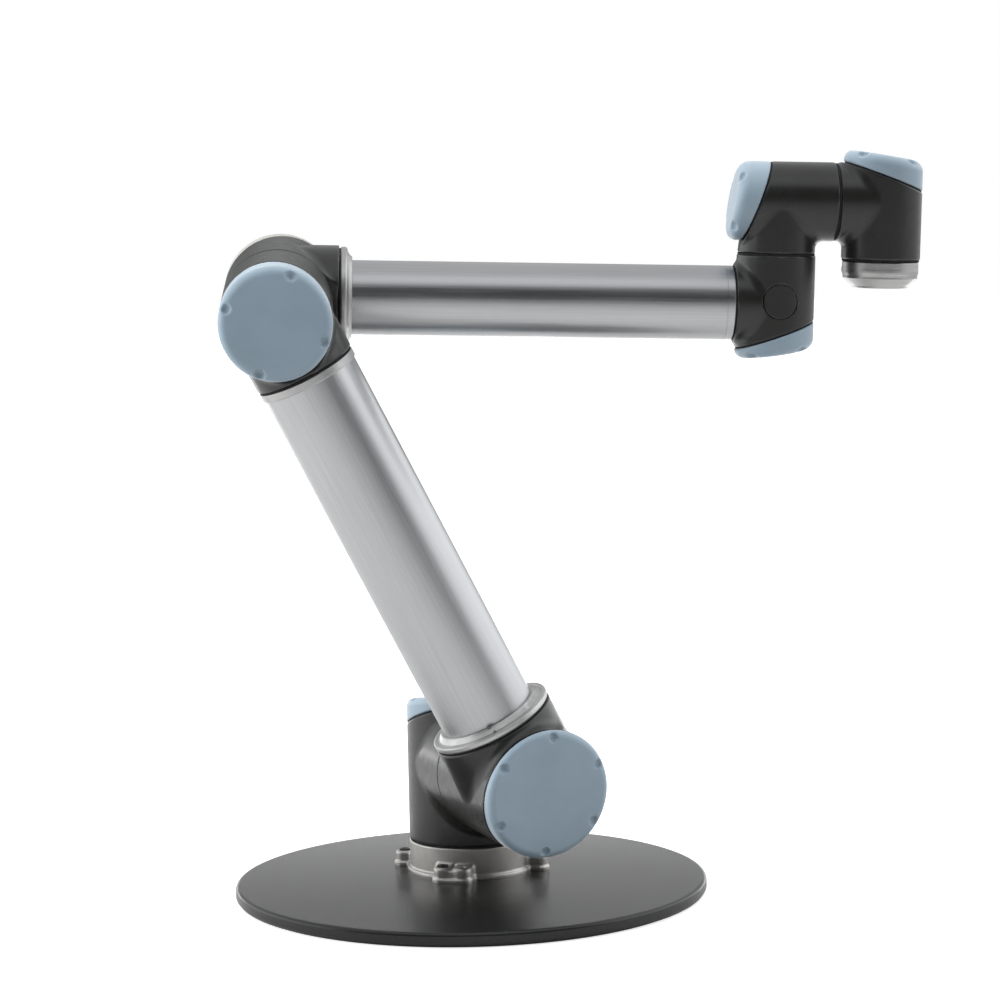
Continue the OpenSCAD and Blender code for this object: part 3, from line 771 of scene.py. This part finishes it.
gasket("lower_ring_gasket", UPPER, "upper_arm", UPPER_R, 70, upper_from, upper_from + RING_GAP)
gasket("upper_ring_gasket", UPPER, "upper_arm", UPPER_R, 56.6, upper_to - 1.5 * RING_GAP, upper_to)
gasket("forearm_ring_gasket", FORE, "forearm", FORE_R, 56.5, fore_from, fore_from + RING_GAP)
gasket("forearm_end_gasket", FORE, "forearm", 36, FORE_R - 0.9, fore_to - RING_GAP, fore_to)
z = upper_from + RING_GAP
make("lower_tube_ring", turned([
    (UPPER_R, z, 0), (70.5, z, 1), (72, z + 2, 1), (72, z + 7.2, 2.2), (67.5, z + 8.2, 0.8),
    (66.5, z + 6.6, 0.6), (64, z + 7.6, 0.8), (60.5, z + 11, 1.5), (59, z + 13, 1.0), (UPPER_R, z + 13, 0.4),
], 192), UPPER, "upper_arm", RING, "cast_silver", ["lower_tube_ring"])
clasp_place = UPPER @ Matrix.Rotation(CLASP_HEADING, 4, "Z")
make("lower_ring_clasp", strap([
    (71.2, z + 3.4), (72.6, z + 3.6), (72.6, z + 7.4), (71.8, z + 8.6), (67.4, z + 9.4), (64.2, z + 9.2),
    (60.8, z + 12.4), (59.4, z + 14.4), (58.2, z + 14.2), (59.2, z + 11.4), (64, z + 7), (70.6, z + 7),
], -1.3, 1.3), clasp_place, "upper_arm", MACHINED, "cast_silver")
make("lower_ring_clasp_hook", strap([
    (58.6, z + 12.6), (60.4, z + 12.8), (59.8, z + 14.6), (57.6, z + 14.6),
], -6.2, 1.3), clasp_place, "upper_arm", MACHINED, "cast_silver")
z = upper_to - 1.5 * RING_GAP
make("upper_tube_ring", turned([
    (UPPER_R, z - 9, 0.4), (57.5, z - 9, 1.2), (57.5, z, 1.0), (UPPER_R, z, 0),
], 192), UPPER, "upper_arm", RING, "tube_aluminium", ["upper_tube_ring"])
z = fore_from + RING_GAP
make("forearm_ring", turned([
    (FORE_R, z, 0), (57, z, 0.8), (58, z + 1.5, 0.6), (58, z + 7, 3.5), (53, z + 8, 1.0),
    (50, z + 9.5, 1.2), (46.5, z + 13, 1.2), (FORE_R, z + 13, 0.3),
], 192), FORE, "forearm", RING, "tube_aluminium", ["forearm_ring"])

# ---- tool flange ----
hand = MODULES["wrist_3"]
make("tool_flange", contour(tool_field, (-47, -47, -101), (47, 47, -42), 1.2), hand.place, "tool",
     MACHINED, "machined_aluminium", ["tool_flange"])
socket_place = hand.place @ Matrix.Rotation(CONNECTOR_HEADING, 4, "Z") @ Matrix.Translation(
    (RIM_R * MM, 0, CONNECTOR_Z * MM)) @ Matrix.Rotation(math.pi / 2, 4, "Y")
make("tool_connector", turned([
    (0, -6, 0), (5.1, -6, 0.4), (5.1, 0.2, 0), (6.2, 0.2, 0.3), (6.2, 2.5, 0.6), (4.6, 2.5, 0.3),
    (3.9, 1.2, 0.2), (3.5, -3, 0.3), (0, -3, 0),
], 64, closed=False), socket_place, "tool", NYLON, "black_plastic", ["tool_connector"])

# ---- stand ----
DISC_R = 282.9
make("weighted_disc", turned([
    (0, 2, 0), (DISC_R - 3, 2, 1.5), (DISC_R, 6, 3), (DISC_R, STAND_TOP, 4.5), (0, STAND_TOP, 0),
], 256, closed=False), Matrix.Identity(4), "stand", DISC, "disc_black", ["weighted_disc"])
make("rubber_pad", turned([(0, 0, 0), (DISC_R - 8, 0, 0.6), (DISC_R - 8, 2, 0), (0, 2, 0)], 256,
     closed=False), Matrix.Identity(4), "stand", RUBBER, "pad_rubber", ["rubber_pad"])
make("base_flange", contour(flange_field, (-102, -102, 16.5), (102, 102, 56), 1.6), stand_place,
     "stand", CAST, "cast_silver", ["base_flange"])
gland_place = stand_place @ Matrix.Rotation(GLAND_HEADING, 4, "Z") @ Matrix.Translation(
    (BIG.r * MM, 0, GLAND_Z * MM)) @ Matrix.Rotation(math.pi / 2, 4, "Y")
make("cable_gland", turned([
    (4.5, -12, 0.3), (7.9, -12, 0.5), (7.9, 6, 0), (8.6, 7, 0.3), (8.6, 9, 0.6), (8.0, 9.6, 0.3),
    (8.6, 10.2, 0.3), (8.6, 13, 2.0), (6.6, 18, 1.5), (4.5, 18, 0.8),
], 64), gland_place, "stand", NYLON, "black_plastic", ["cable_gland"])
make("cable_gland_nut", prism(6, 11, 0.6, 6.2, 0.8), gland_place, "stand", NYLON, "black_plastic")

# ---- CAD nodes that stay as they are ----
FINISH_OF = {"_screws": STEEL, "_seal": RUBBER, "_gear": GEAR_STEEL, "_motor": COPPER, "_hub": STEEL}
for node_name, node in frame["nodes"].items():
    if node.hide_render:
        continue
    found = [finish for ending, finish in FINISH_OF.items() if node_name.endswith(ending)]
    finish = BLACK_STEEL if node_name == "flange_bolts" else found[0]
    for material_slot in node.material_slots:
        material_slot.material = finish
    node.data.shade_smooth()


# ---- floor, lights and camera ----
CEILING, BACKDROP, SIDE, ROOM_DARK = 0.70, 0.6, 1.0, 0.96
LEFT, CEILING_EDGE, HORIZON_DARK = 1.2, 0.4, 0.85


def floor_material():
    m = Nodes("studio_floor")
    tone = m.mix(m.span(m.noise(3, 3), 0.3, 0.7, 0, 1), (0.56, 0.56, 0.555, 1), (0.60, 0.60, 0.595, 1))
    m.feed(m.shader.inputs["Base Color"], tone)
    seen = m.tree.nodes.new("ShaderNodeLightPath").outputs["Is Camera Ray"]
    m.feed(m.shader.inputs["Emission Strength"], m.span(seen, 0, 1, 0.02, 0.75))
    m.constants(Roughness=0.7, Specular_IOR_Level=0.2, Emission_Color=(1, 1, 1, 1))
    return m.material


def make_floor():
    mesh = bpy.data.meshes.new("floor")
    half = 30
    mesh.from_pydata([(-half, -half, 0), (half, -half, 0), (half, half, 0), (-half, half, 0)], [],
                     [(0, 1, 2, 3)])
    mesh.materials.append(floor_material())
    floor = bpy.data.objects.new("floor", mesh)
    bpy.context.scene.collection.objects.link(floor)
    floor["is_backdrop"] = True


def soft_light(name, place, aim, size, power, mirrored=False):
    """A softbox. Unless mirrored, it isn't seen in any shiny surface: those show the studio's walls."""
    data = bpy.data.lights.new(name, "AREA")
    data.shape = "RECTANGLE"
    data.size, data.size_y = size
    data.energy = power
    light = bpy.data.objects.new(name, data)
    light.visible_glossy = mirrored
    light.visible_camera = False
    light.location = place
    light.rotation_euler = (Vector(aim) - Vector(place)).to_track_quat("-Z", "Y").to_euler()
    bpy.context.scene.collection.objects.link(light)


def make_world():
    """White to the camera. For light and reflections it is a studio: white behind the arm but for a
    dim strip over the horizon, a soft ceiling with a brighter front edge, bright sides and a dim
    room behind the camera."""
    world = bpy.data.worlds.new("studio")
    bpy.context.scene.world = world
    world.use_nodes = True
    tree = world.node_tree

    def maths(operation, *inputs):
        made = tree.nodes.new("ShaderNodeMath")
        made.operation = operation
        for socket, value in zip(made.inputs, inputs):
            if isinstance(value, bpy.types.NodeSocket):
                tree.links.new(value, socket)
            else:
                socket.default_value = value
        return made.outputs[0]

    def ramp(value, low, high, to_low, to_high):
        made = tree.nodes.new("ShaderNodeMapRange")
        made.interpolation_type = "SMOOTHSTEP"
        tree.links.new(value, made.inputs["Value"])
        for key, number in (("From Min", low), ("From Max", high), ("To Min", to_low), ("To Max", to_high)):
            made.inputs[key].default_value = number
        return made.outputs[0]

    way = tree.nodes.new("ShaderNodeSeparateXYZ")
    tree.links.new(tree.nodes.new("ShaderNodeTexCoord").outputs["Generated"], way.inputs[0])
    x, y, z = way.outputs
    room = maths("MULTIPLY", ramp(y, -0.5, -0.2, 1, 0), ramp(z, 0.60, 0.76, 1, 0))
    backdrop = maths("MULTIPLY", ramp(y, 0.5, 0.9, 0, BACKDROP), ramp(z, 0.05, 0.5, 1, 0))
    side = maths("MULTIPLY", ramp(x, 0.4, 0.75, 0, SIDE), ramp(z, -0.1, 0.3, 0, 1))
    left = maths("MULTIPLY", ramp(x, -0.9, -0.6, LEFT, 0), ramp(z, 0.35, 0.6, 1, 0))
    front = ramp(y, -0.45, -0.1, CEILING_EDGE, 0)
    light = maths("ADD", backdrop, side)
    for more in (left, front, CEILING):
        light = maths("ADD", light, more)
    strip = maths("MULTIPLY", ramp(y, 0.8, 0.95, 0, HORIZON_DARK), ramp(z, 0.26, 0.38, 1, 0))
    light = maths("MULTIPLY", light, maths("SUBTRACT", 1.0, strip))
    keep = maths("SUBTRACT", 1.0, maths("MULTIPLY", room, ROOM_DARK))
    light = maths("MULTIPLY", light, keep)
    seen = tree.nodes["Background"]
    seen.inputs["Color"].default_value = (1, 1, 1, 1)
    seen.inputs["Strength"].default_value = 1.0
    fill = tree.nodes.new("ShaderNodeBackground")
    fill.inputs["Color"].default_value = (0.98, 0.99, 1, 1)
    tree.links.new(light, fill.inputs["Strength"])
    path = tree.nodes.new("ShaderNodeLightPath")
    mix = tree.nodes.new("ShaderNodeMixShader")
    tree.links.new(path.outputs["Is Camera Ray"], mix.inputs[0])
    tree.links.new(fill.outputs[0], mix.inputs[1])
    tree.links.new(seen.outputs[0], mix.inputs[2])
    tree.links.new(mix.outputs[0], tree.nodes["World Output"].inputs[0])


def make_camera():
    """A long lens in front of the arm, a little above it and looking slightly down."""
    data = bpy.data.cameras.new("camera")
    data.lens, data.sensor_width = 103.7, 36
    data.clip_end = 60
    camera = bpy.data.objects.new("camera", data)
    camera.location = (0.0440, -3.4153, 0.7855)
    level = Matrix.Rotation(math.radians(90 - 5.23), 3, "X")
    camera.rotation_euler = (level @ Matrix.Rotation(math.radians(-1.19), 3, "Z")).to_euler()
    bpy.context.scene.collection.objects.link(camera)
    bpy.context.scene.camera = camera


make_floor()
make_world()
soft_light("key_left", (-2.6, -1.6, 2.4), (0, 0, 0.45), (2.2, 2.2), 46)
soft_light("overhead", (0.2, 0.4, 3.2), (0, 0, 0), (2.6, 2.6), 70)
soft_light("fill_right", (3.0, -1.4, 1.2), (0, 0, 0.5), (1.2, 2.4), 22)
soft_light("rim_left", (-3.0, 0.2, 0.9), (0, 0, 0.5), (1.6, 2.0), 60)
soft_light("low_strip", (0, 1.6, 0.14), (0, 0, 0.1), (3.2, 0.22), 6.0, mirrored=True)
make_camera()
bpy.context.scene.view_settings.view_transform = "Standard"

low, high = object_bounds()
